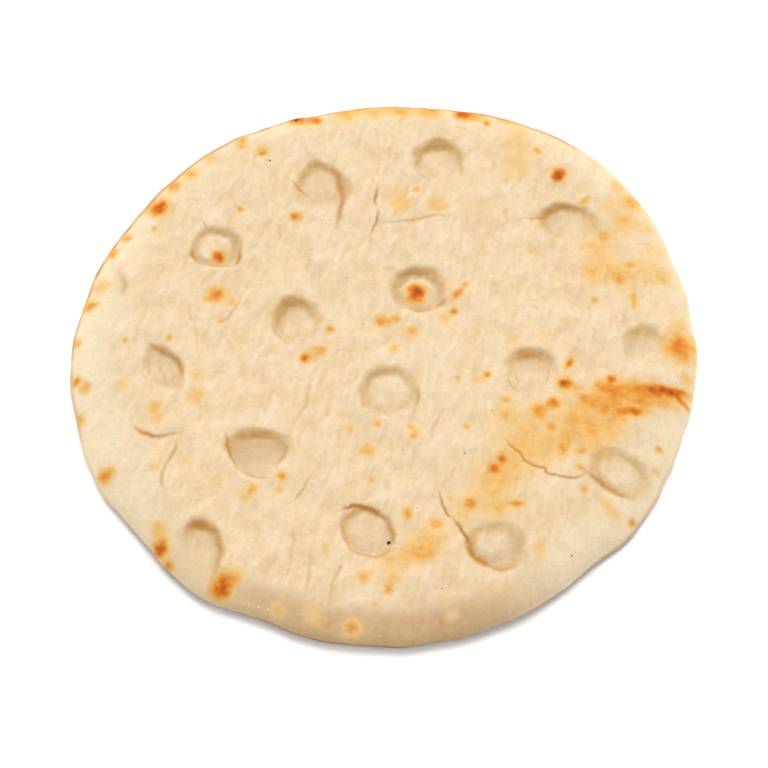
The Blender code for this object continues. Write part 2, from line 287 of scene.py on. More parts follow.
# docking dimples: where, how large, and how each one came out of the oven
# turn is of the length from +Y; deepTo and deepBy say which side is pressed deeper; sheer is how steep the
# wall is, more so on the sheerTo side; taper narrows the far end and point both ends; hump is the middle that
# rose again; cracks are half width, strength and route, from the dimple's middle
# shade is how much painted shade the dimple's floor takes
dimpleUsual = {"deepTo": 90, "deepBy": 0.0, "sheer": 0.3, "sheerTo": 90, "sheerBy": 0.0, "taper": 0.0,
               "point": 0.0, "hump": 0.0, "humpX": 0.0, "humpY": 0.0, "humpSize": 5.5, "shade": 0.36}
dimpleValues = ("width", "length", "turn", "depth", *dimpleUsual)
dimples = [
    {"x": -19.2, "y": 57.6, "width": 16.5, "length": 17.5, "turn": 8, "depth": 1.05, "taper": 0.5,
     "deepTo": 80, "deepBy": 0.5, "sheer": 0.15, "hump": 0.35, "humpY": 1.0,
     "cracks": [(0.45, 0.55, (-8.2, 0.3), (-6, -2.2), (-3.2, -5.2)),
                (1.1, 0.5, (4.5, 4), (6.2, -1), (7, -5.5), (6.2, -10), (5.4, -17))]},
    {"x": 16.5, "y": 66.2, "width": 15.5, "length": 16.0, "turn": 0, "depth": 0.95, "deepTo": 102,
     "deepBy": 1.1, "sheer": 0.1, "hump": 0.2,
     "cracks": [(0.5, 0.2, (-7.7, -1.5), (-5.5, -5.5), (-2.5, -7.2)),
                (1.0, 0.3, (6.5, 2), (7, -2), (7, -5.5)), (1.3, 0.35, (-5, 4.4), (-1, 5.0), (3, 4.6))]},
    {"x": 54.8, "y": 43.7, "width": 18.5, "length": 13.5, "turn": -8, "depth": 0.7, "deepTo": 110,
     "deepBy": 0.85, "sheer": 0.3,
     "cracks": [(0.9, 0.4, (-13.5, 1.2), (-8, 1.5), (-4.5, 4.4), (0, 5.8), (4.5, 4.6))]},
    {"x": -49.2, "y": 34.3, "width": 15.6, "length": 14.8, "turn": 0, "depth": 1.05, "deepTo": 95,
     "deepBy": 0.25, "hump": 0.85, "humpX": -1.2, "humpY": -0.3, "humpSize": 5.6, "shade": 0.48,
     "cracks": [(0.7, 0.7, (-7.2, -0.4), (-7.0, -2.6), (-5.4, -5)),
                (0.8, 0.65, (6.9, -0.6), (6.5, -3.8), (5.2, -6.6)),
                (0.35, 0.3, (-4.4, 9.6), (-3.6, 7.6), (-2.8, 5.6)),
                (0.35, 0.35, (-5, -5.4), (0, -6.6), (5, -6.6))]},
    {"x": -77.0, "y": 22.4, "width": 5.5, "length": 10.0, "turn": 10, "depth": 0.05, "deepTo": 0,
     "deepBy": 0.8,
     "cracks": [(1.0, 0.22, (-1.7, 4.9), (0.7, 1.5), (1.6, -2.5), (1, -4.8))]},
    {"x": 10.3, "y": 19.6, "width": 16.6, "length": 16.6, "turn": 0, "depth": 1.1, "deepTo": 115,
     "deepBy": 0.3, "sheer": 0.35, "hump": 0.85, "humpX": -0.4, "humpY": -1.0, "humpSize": 5.5,
     "shade": 0.62,
     "cracks": [(0.9, 0.3, (-5.5, 5), (-2, 6), (3.3, 5.8)),
                (0.9, 0.5, (7.6, -2.3), (7, -4.6), (4.6, -6.2)),
                (0.5, 0.35, (4.6, -6.2), (0.5, -7.6), (-3.5, -6.4))]},
    {"x": -25.0, "y": 9.0, "width": 14.0, "length": 16.5, "turn": 10, "depth": 0.8, "deepTo": 120,
     "deepBy": 1.0, "sheer": 0.2,
     "cracks": [(0.6, 0.25, (-6.6, 2), (-6.6, -2.8), (-4.5, -6), (-1.2, -8.5)),
                (1.2, 0.35, (-5.4, 5), (-3.6, 6.2), (-1, 6.4))]},
    {"x": -62.3, "y": -6.4, "width": 10.5, "length": 19.0, "turn": 33, "depth": 0.6, "point": 0.6,
     "deepTo": 40, "deepBy": 0.6, "sheer": 0.4, "shade": 0.4,
     "cracks": [(0.8, 0.4, (-4.6, 8.2), (-3, 6.6), (0, 4.9), (3.4, 2.9), (5.1, -1.1), (5.8, -5.8)),
                (0.5, 0.2, (-5.8, 4.6), (-5.9, -1.5), (-4.5, -5)),
                (0.5, 0.15, (-2.6, 3.6), (-0.6, -1.5), (1.2, -6)),
                (0.45, 0.15, (1.2, 2.6), (2.4, -1.6), (2.6, -5.4))]},
    {"x": 1.5, "y": -14.6, "width": 17.0, "length": 16.2, "turn": 0, "depth": 0.62, "deepTo": 110,
     "deepBy": 0.3, "sheer": 0.4, "hump": 0.8, "humpX": 0.3, "humpY": -0.4, "humpSize": 5.8, "shade": 0.14,
     "cracks": [(0.9, 0.25, (-6, 4.4), (-2, 6.4), (2.6, 6.2)),
                (0.6, 0.4, (8, 1.5), (8.2, -1.5), (7.2, -5.5)),
                (0.5, 0.2, (-7.8, 2), (-7.6, -3), (-5.2, -6.2))]},
    {"x": 41.7, "y": -7.7, "width": 15.6, "length": 15.0, "turn": 0, "depth": 0.36, "deepTo": 92,
     "deepBy": 2.6, "sheer": 0.1,
     "cracks": [(0.4, 0.35, (-6.8, -2.8), (-5.8, -5), (-3.9, -7.2)),
                (0.35, 0.3, (-5, -1), (-4.2, -3), (-3.8, -4.6)),
                (1.3, 0.5, (-4.8, 3.4), (-2.4, 4.4), (0.2, 4.9), (3.6, 3.9)),
                (0.35, 0.25, (5.2, 0.5), (4.8, -2.4), (4.2, -4.6))]},
    {"x": 74.5, "y": -0.1, "width": 13.5, "length": 15.0, "turn": 20, "depth": 0.36, "deepTo": 110,
     "deepBy": 1.7, "sheer": 0.05},
    {"x": -35.0, "y": -34.2, "width": 17.5, "length": 15.4, "turn": -4, "depth": 0.66, "taper": -0.5,
     "deepTo": 95, "deepBy": 0.7, "sheer": 0.4, "shade": 0.8,
     "cracks": [(0.55, 0.6, (-9.0, 6.2), (-8.4, 3.4), (-7.4, -0.5), (-5.2, -4.5)),
                (0.5, 0.35, (8.8, 2.6), (7.2, -0.6), (5.0, -5.5)),
                (0.5, 0.3, (-5.2, -4.5), (-1, -7.2), (4, -7.8)),
                (0.8, 0.4, (-7.6, 4.8), (-3, 5.4), (2, 5.4), (6.5, 3.8)),
                (0.5, 0.3, (0, 6.2), (0.8, 8.4))]},
    {"x": 64.9, "y": -39.9, "width": 19.0, "length": 13.5, "turn": -20, "depth": 0.9, "sheer": 0.15,
     "hump": 0.75, "humpX": -1.2, "humpY": 0.8, "humpSize": 5.6, "shade": 0.4,
     "cracks": [(1.0, 0.6, (-9.6, 0.2), (-6.5, -2.4), (-3.1, -4.9), (0.5, -6.6), (4, -7.4)),
                (0.8, 0.4, (4.8, 2.8), (7, -0.4), (9.6, -2.8))]},
    {"x": -49.0, "y": -62.8, "width": 12.0, "length": 18.0, "turn": 6, "depth": 0.6, "deepTo": 55,
     "deepBy": 1.6, "sheer": 0.3,
     "cracks": [(1.4, 0.85, (-3.8, 6.0), (-1, 6.6), (2.6, 5.4)),
                (1.0, 0.35, (4.2, 4.5), (5.2, 0), (4.6, -5), (2.8, -10))]},
    {"x": -4.2, "y": -57.4, "width": 13.4, "length": 16.4, "turn": 42, "depth": 0.85, "point": 0.15,
     "deepTo": 80, "deepBy": 0.15, "sheer": 0.75, "hump": 0.5, "humpSize": 6.0, "shade": 0.7,
     "cracks": [(0.65, 1.0, (-7.0, 6.0), (-4.4, 7.0), (-1.7, 7.0), (1.4, 5.9), (4.6, 3.1)),
                (0.8, 0.4, (4.6, 3.1), (6.5, -0.9), (7.1, -5.1)),
                (0.6, 0.35, (-6.6, 4.4), (-7.1, 0.8), (-6.0, -3.2), (-3.0, -6.4), (1.4, -7.9), (5.1, -6.9),
                 (7.1, -5.3))]},
    {"x": 30.4, "y": -62.2, "width": 16.4, "length": 15.2, "turn": 0, "depth": 0.95, "deepTo": 205,
     "deepBy": 0.2, "sheer": 0.3, "sheerTo": 215, "sheerBy": 0.4, "hump": 0.8, "humpX": -0.8, "humpY": 2.4,
     "humpSize": 6.4, "shade": 0.56,
     "cracks": [(0.6, 0.8, (-11.4, 8.2), (-9.1, 4.6), (-7.6, 0.9), (-5.7, -2.8)),
                (1.2, 0.75, (-8.2, 1.8), (-6.4, -2.2), (-3.6, -5.0), (-1.2, -6.4)),
                (0.7, 0.4, (-2.6, -5.9), (0.8, -6.9), (4.6, -6.0))]},
]


def buildDimplePoints():
    mesh = bpy.data.meshes.new("dimplePoints")
    middleX, middleY = dough["patternMiddle"]
    mesh.from_pydata([((d["x"] + middleX) * mm, (d["y"] + middleY) * mm, 0) for d in dimples], [], [])
    lengths = ("width", "length", "depth", "humpX", "humpY", "humpSize")
    turns = ("turn", "deepTo", "sheerTo")
    for key in dimpleValues:
        scale = mm if key in lengths else math.pi / 180 if key in turns else 1.0
        store(mesh, key, [{**dimpleUsual, **d}[key] * scale for d in dimples])
    return newObject("dimplePoints", mesh)


# folds and cracks in the skin: half width, strength, and the route
folds = [
    (0.4, 0.4, (26.3, -22.5), (27.9, -28.3)),
    (0.45, 0.55, (33.4, -29.5), (37.1, -33.9), (39.7, -37.3), (44.3, -39.2), (45.0, -40.7), (52.1, -41.9),
     (56.0, -40.4)),
    (0.45, 0.6, (14.8, -45.2), (16, -49.7), (17.2, -52.6), (19, -54)),
    (0.8, 0.55, (-70.0, -25.6), (-67.1, -27.5), (-62.9, -28.8), (-56.6, -27.5)),
    (0.6, 0.36, (-58.1, -30.0), (-57.6, -33.2), (-60.1, -38.5), (-60.9, -42.5), (-59.9, -45.5)),
    (0.5, 0.45, (-2.2, 76.5), (-1.4, 70.0)),
    (0.5, 0.5, (-1.5, 64.5), (-1.8, 59.5)),
    (0.55, 0.65, (-1.8, 56.5), (-2.4, 52.0), (-2.2, 48.5)),
    (0.55, 0.6, (-1.4, 47.5), (-1.9, 44.0), (-4.0, 38.5)),
    (0.6, 0.3, (-1.1, 43.1), (6.3, 43.5), (13.8, 45.3), (19.2, 45.7)),
    (0.8, 0.25, (-25.3, 76), (-23.0, 68)),
    (0.6, 0.25, (-18.6, 75.5), (-17.6, 69)),
    (0.55, 0.75, (-56.3, 13.6), (-55.4, 9.8)),
    (0.55, 0.75, (-54.3, 7.4), (-53.8, 4.4)),
    (0.55, 0.6, (-53.4, 2.6), (-53.3, 0.2)),
    (0.6, 0.3, (-41.0, 18), (-44.6, 10.3), (-48.5, 8.4)),
    (0.6, 0.35, (69.0, -35), (74.5, -43.6)),
    (0.7, 0.25, (-20.8, -11.5), (-22.0, -19), (-25.5, -26)),
    (0.7, 0.2, (17.0, -20), (14.0, -26), (13.1, -31)),
    (0.9, 0.7, (-23.9, -58.5), (-25.0, -65.5)),
    (0.4, 0.9, (-25.1, -67.6), (-25.6, -70.8)),
    (0.9, 0.8, (-19.4, -66.0), (-20.3, -73.8)),
    (0.8, 0.85, (-11.9, -68.7), (-13.8, -73.6)),
    (0.9, 0.85, (-13.9, -73.9), (-14.2, -77.4)),
    (0.5, 0.4, (-19.4, -40.3), (-22.8, -46.4), (-24.2, -48.8)),
    (0.5, 0.2, (-24.6, -50.5), (-28.6, -56.0)),
    (0.5, 0.5, (-14.5, -81.6), (-14.4, -85.6)),
    (0.5, 0.35, (7.6, -81.6), (7.6, -86.2)),
    (0.6, 0.3, (9.7, -71.3), (8.3, -76.4)),
    (0.45, 0.5, (1.4, -48.2), (-0.3, -51.0)),
    (0.45, 0.5, (-11.4, -48.2), (-9.9, -50.8)),
    (0.6, 0.25, (33.5, 6.5), (32.0, 1.0)),
    (0.6, 0.25, (30.5, -17.0), (33.5, -22.5)),
]

foldEnds = {"halfWidth": 0.7, "strength": 0.25}     # what is left of them at each end of a fold

# short faint wrinkles that the dough's stretching left, all leaning the same way
wrinkles = {"count": 150, "length": (3, 9), "lean": 76, "leanSpread": 16, "strength": (0.04, 0.15),
            "halfWidth": (0.6, 1.0), "bend": 0.12, "within": 79, "clear": 3.0, "seed": 11}


def wrinkleRoutes(taken):
    rng = random.Random(wrinkles["seed"])
    routes = []
    while len(routes) < wrinkles["count"]:
        radius = wrinkles["within"] * math.sqrt(rng.random())
        around = rng.uniform(0, 2 * math.pi)
        lean = math.radians(rng.gauss(wrinkles["lean"], wrinkles["leanSpread"]))
        half = rng.uniform(*wrinkles["length"]) / 2
        bend = rng.uniform(-wrinkles["bend"], wrinkles["bend"]) * half
        middle = (radius * math.cos(around), radius * math.sin(around))
        width, strength = rng.uniform(*wrinkles["halfWidth"]), rng.uniform(*wrinkles["strength"])
        if any(math.dist(middle, place) < half + wrinkles["clear"] for place in taken):
            continue
        x, y = middle
        routes.append((width, strength, (x - half * math.cos(lean), y - half * math.sin(lean)),
                       (x - math.sin(lean) * bend, y + math.cos(lean) * bend),
                       (x + half * math.cos(lean), y + half * math.sin(lean))))
    return routes


def buildFoldRoutes():
    routes = list(folds)
    for dimple in dimples:
        for width, strength, *route in dimple.get("cracks", ()):
            routes.append((width, strength, *((dimple["x"] + x, dimple["y"] + y) for x, y in route)))
    taken = [place for route in routes for place in route[2:]] + [(d["x"], d["y"]) for d in dimples]
    routes += wrinkleRoutes(taken)
    points, edges = [], []
    values = {"halfWidth": [], "strength": []}
    middleX, middleY = dough["patternMiddle"]
    for halfWidth, strength, *route in routes:
        for number, (x, y) in enumerate(route):
            if number:
                edges.append((len(points) - 1, len(points)))
            points.append(((x + middleX) * mm, (y + middleY) * mm, 0))
            atEnd = number in (0, len(route) - 1)
            values["halfWidth"].append(halfWidth * (foldEnds["halfWidth"] if atEnd else 1.0) * mm)
            values["strength"].append(strength * (foldEnds["strength"] if atEnd else 1.0))
    mesh = bpy.data.meshes.new("foldRoutes")
    mesh.from_pydata(points, edges, [])
    for name, numbers in values.items():
        store(mesh, name, numbers)
    return newObject("foldRoutes", mesh)


# the relief of the skin; sizes in metres, as the tree takes them
skinSizes = {
    "Dimple raggedness": 0.44,          # swing of its outline, as a share of its radius
    "Dimple ragged size": 5.0 * mm,
    "Wall depth": 0.8 * mm,             # depth of a dimple whose wall shows its whole painted shade
    "Fold step": 0.5 * mm,
    "Fold raggedness": 0.5 * mm,
    "Fold ragged size": 2.6 * mm,
    "Fold depth": 0.25 * mm,            # of a fold of strength 1
    "Fold shoulder": 0.4 * mm,          # how far its groove spreads past its half width
    "Crack shoulder": 0.7 * mm,         # and how far its tone does
    "Swell height": 1.0 * mm,
    "Swell size": 12.0 * mm,
    "Blister height": 0.72 * mm,
    "Blister size": 3.0 * mm,
    "Streak height": 1.0 * mm,
    "Streak width": 1.6 * mm,
    "Streak length": 7.0 * mm,
    "Relief unit": 0.1 * mm,            # what the crust's material counts the relief in
    "Seam lip": 0.35 * mm,
    "Seam lip width": 0.4 * mm,
    "Seam height": 1.1 * mm,
    "Seam waver": 0.5 * mm,
    "Seam waver size": 9.0 * mm,
    "Seam patch size": 22.0 * mm,
    "Slit above seam": 0.8 * mm,
    "Slit width": 0.3 * mm,
    "Foot hollow height": 0.35 * mm,
    "Foot hollow level": 0.5 * mm,      # how high up the foot the hollows reach
}
skinForm = {
    # a dimple's wall runs between these shares of its radius, and sheerness brings them closer
    "wallOuter": 1.18, "outerSheer": 0.14,
    "wallInner": 0.34, "innerSheer": 0.46,
    "narrowest": 0.2,
    "humpEdge": (1.12, 0.62),           # where the risen middle begins and is whole
    "wallShadeGain": 4.0,
    "foldSwing": (3, 3, 0),             # folds waver sideways and not in height
    "blisterStretch": (1.0, 0.55, 0),   # blisters are longer along the lean
    "hollowGain": 4.0,
    # the seam is plainest about the front, and comes and goes elsewhere
    "seamFrontX": -12 * mm, "seamFrontReach": 24 * mm, "seamFrontY": -50 * mm,
    "seamPatch": 0.3, "seamPatchGain": 0.8,
    "seamRim": (0.965, 0.98),
    "slitDepth": 0.9,
}


def buildSkinTree(sizes):
    tree, given, made = newTree("dockedSkin", sizes)
    add, product, fade, hill = nodeTools(tree)
    size, form = given.outputs, skinForm

    def unevenness(place, width, detail=2.0):
        scale = add("DIVIDE", 1.0, width)
        value = add("TexNoise", inputs={"Vector": place, "Scale": scale, "Detail": detail}, out="Fac")
        return add("SUBTRACT", value, 0.5)

    def readAt(mesh, index, name, kind="FLOAT"):
        # what the mesh's point of that index has stored by that name
        value = add("GeometryNodeInputNamedAttribute", name, data_type=kind)
        return add("GeometryNodeSampleIndex", mesh, value, index, data_type=kind)

    position = add("GeometryNodeInputPosition")
    x, y, z = add("SeparateXYZ", position).node.outputs
    flat = add("CombineXYZ", x, y)
    topShare = add("GeometryNodeInputNamedAttribute", "topShare")
    rimShare = add("GeometryNodeInputNamedAttribute", "rimShare")

    # dimples: each point of the skin looks up its nearest dimple
    dimpleMesh = add("GeometryNodeObjectInfo", size["Dimples"], out="Geometry")
    nearest = add("GeometryNodeSampleNearest", dimpleMesh, flat)
    of = {name: readAt(dimpleMesh, nearest, name) for name in dimpleValues}
    middle = add("GeometryNodeSampleIndex", dimpleMesh, position, nearest, data_type="FLOAT_VECTOR")
    away = add("VectorMath", flat, middle, operation="SUBTRACT")
    awayX, awayY, _ = add("SeparateXYZ", away).node.outputs
    turnBack = add("MULTIPLY", of["turn"], -1.0)
    local = add("VectorRotate", rotation_type="Z_AXIS", inputs={"Vector": away, "Angle": turnBack})
    localX, localY, _ = add("SeparateXYZ", local).node.outputs
    across = add("DIVIDE", product(localX, 2.0), of["width"])
    along = add("DIVIDE", product(localY, 2.0), of["length"])
    narrowing = add("ADD", product(along, along, of["point"]), product(of["taper"], along))
    across = add("DIVIDE", across, add("MAXIMUM", add("SUBTRACT", 1.0, narrowing), form["narrowest"]))
    reach = add("SQRT", add("ADD", product(across, across), product(along, along)))
    ragged = product(unevenness(flat, size["Dimple ragged size"]), size["Dimple raggedness"])
    reach = add("ADD", reach, ragged)

    def leanTo(direction):
        # how far towards a direction, as a share of the dimple's reach
        towards = add("ADD", product(awayX, add("COSINE", direction)), product(awayY, add("SINE", direction)))
        return add("DIVIDE", product(towards, 2.0), of["length"])

    sheer = add("Clamp", add("ADD", of["sheer"], product(leanTo(of["sheerTo"]), of["sheerBy"])))
    outer = add("SUBTRACT", form["wallOuter"], product(sheer, form["outerSheer"]))
    inner = add("ADD", form["wallInner"], product(sheer, form["innerSheer"]))
    bowl = fade(reach, outer, inner)
    humpPlace = add("CombineXYZ", of["humpX"], of["humpY"])
    humpOff = add("VectorMath", away, humpPlace, operation="DISTANCE", out="Value")
    humpOff = add("ADD", add("DIVIDE", humpOff, of["humpSize"]), ragged)
    hump = product(fade(humpOff, *form["humpEdge"]), of["hump"])
    pressed = add("MAXIMUM", add("ADD", 1.0, product(leanTo(of["deepTo"]), of["deepBy"])), 0.0)
    pit = product(add("SUBTRACT", bowl, product(bowl, hump)), pressed)
    # painted warm shade on the dimple's wall, most on its deeper side, and less in shallow dimples
    wall = product(bowl, add("SUBTRACT", 1.0, bowl), product(pressed, form["wallShadeGain"]))
    wall = product(wall, add("MINIMUM", add("DIVIDE", of["depth"], size["Wall depth"]), 1.0))

    # folds: the routes become smooth ragged curves, and the skin reads how far off they are
    curve = add("GeometryNodeMeshToCurve", add("GeometryNodeObjectInfo", size["Folds"], out="Geometry"))
    curve = add("GeometryNodeCurveSplineType", curve, spline_type="CATMULL_ROM")
    curve = add("GeometryNodeResampleCurve", curve, mode="LENGTH", inputs={"Length": size["Fold step"]})
    scale = add("DIVIDE", 1.0, size["Fold ragged size"])
    shake = add("TexNoise", inputs={"Vector": position, "Scale": scale, "Detail": 3.0}, out="Color")
    shake = add("VectorMath", shake, (0.5, 0.5, 0.5), operation="SUBTRACT")
    shake = add("VectorMath", shake, form["foldSwing"], operation="MULTIPLY")
    shake = add("VectorMath", shake, operation="SCALE", inputs={"Scale": size["Fold raggedness"]})
    curve = add("GeometryNodeSetPosition", curve, inputs={"Offset": shake})
    curve = add("GeometryNodeStoreNamedAttribute", curve, data_type="FLOAT_VECTOR", domain="POINT",
                inputs={"Name": "heading", "Value": add("GeometryNodeInputTangent")})
    routes = add("GeometryNodeCurveToMesh", curve)
    near = add("GeometryNodeProximity", routes, target_element="EDGES",
               inputs={"Sample Position": flat}).node.outputs
    nearPoint = add("GeometryNodeSampleNearest", routes, flat)
    halfWidth, strength = (readAt(routes, nearPoint, name) for name in ("halfWidth", "strength"))
    heading = readAt(routes, nearPoint, "heading", "FLOAT_VECTOR")
    off = add("VectorMath", flat, near["Position"], operation="SUBTRACT")
    side = add("SeparateXYZ", add("VectorMath", heading, off, operation="CROSS_PRODUCT"), out=2)
    groove = hill(near["Distance"], add("ADD", halfWidth, size["Fold shoulder"]))
    foldDepth = product(groove, strength, size["Fold depth"])
    crack = product(hill(near["Distance"], add("ADD", halfWidth, size["Crack shoulder"])), strength)

    # slow swells, small blisters, and streaks that lean as the wrinkles do
    swell = product(unevenness(flat, size["Swell size"], 1.0), size["Swell height"])
    leant = add("VectorRotate", rotation_type="Z_AXIS",
                inputs={"Vector": flat, "Angle": math.radians(90 - wrinkles["lean"])})
    leantX, leantY, _ = add("SeparateXYZ", leant).node.outputs
    streakPlace = add("CombineXYZ", add("DIVIDE", leantX, size["Streak width"]),
                      add("DIVIDE", leantY, size["Streak length"]))
    streak = product(unevenness(streakPlace, 1.0), size["Streak height"])
    blisterPlace = add("VectorMath", leant, form["blisterStretch"], operation="MULTIPLY")
    blister = product(unevenness(blisterPlace, size["Blister size"]), size["Blister height"])
    rise = add("ADD", swell, add("ADD", blister, streak))

    # the rim's seam: a thin lip of the lower skin with a slit above it
    front = hill(add("SUBTRACT", x, form["seamFrontX"]), form["seamFrontReach"])
    front = product(front, fade(y, 0.0, form["seamFrontY"]))
    elsewhere = add("ADD", unevenness(flat, size["Seam patch size"], 1.0), form["seamPatch"])
    elsewhere = product(elsewhere, form["seamPatchGain"])
    seamShare = add("Clamp", add("ADD", front, elsewhere))
    waver = product(unevenness(flat, size["Seam waver size"]), size["Seam waver"])
    seamLine = add("ADD", size["Seam height"], waver)
    lip = hill(add("SUBTRACT", z, seamLine), size["Seam lip width"])
    onRim = fade(rimShare, *form["seamRim"])
    slitLine = add("ADD", seamLine, size["Slit above seam"])
    slit = product(hill(add("SUBTRACT", z, slitLine), size["Slit width"]), onRim)
    lip = add("SUBTRACT", lip, product(slit, form["slitDepth"]))
    lip = product(lip, size["Seam lip"], seamShare, onRim)
    outward = add("VectorMath", flat, operation="NORMALIZE")
    lipMove = add("VectorMath", outward, operation="SCALE", inputs={"Scale": lip})

    dimpleDepth = product(pit, of["depth"])
    topRise = product(topShare, add("SUBTRACT", rise, add("ADD", dimpleDepth, foldDepth)))
    hollow = product(unevenness(flat, size["Swell size"]), form["hollowGain"])
    hollow = add("MAXIMUM", hollow, 0.0)
    below = product(fade(z, size["Foot hollow level"], 0.0), size["Foot hollow height"])
    lift = add("CombineXYZ", 0.0, 0.0, add("ADD", topRise, product(hollow, below)))

    skin = size["Geometry"]
    shown = {
        # painted shade for the dimples' floors
        "pit": product(pit, of["shade"], topShare),
        # painted warm shade on the dimples' walls
        "wall": product(wall, topShare),
        # browning and painted shade along the cracks
        "crack": product(crack, topShare),
        "crackOff": add("DIVIDE", side, halfWidth),
        "relief": product(add("DIVIDE", rise, size["Relief unit"]), topShare),
        # painted shade in the seam's slit
        "seam": product(slit, seamShare),
    }
    for name, value in shown.items():
        skin = add("GeometryNodeStoreNamedAttribute", skin, data_type="FLOAT", domain="POINT",
                   inputs={"Name": name, "Value": value})
    move = add("VectorMath", lift, lipMove, operation="ADD")
    skin = add("GeometryNodeSetPosition", skin, inputs={"Offset": move})
    skin = add("GeometryNodeSetShadeSmooth", skin)
    skin = add("GeometryNodeRealizeInstances", skin)
    skin = add("GeometryNodeSetMaterial", skin, inputs={"Material": size["Crust"]})
    tree.links.new(skin, made.inputs[0])
    return tree
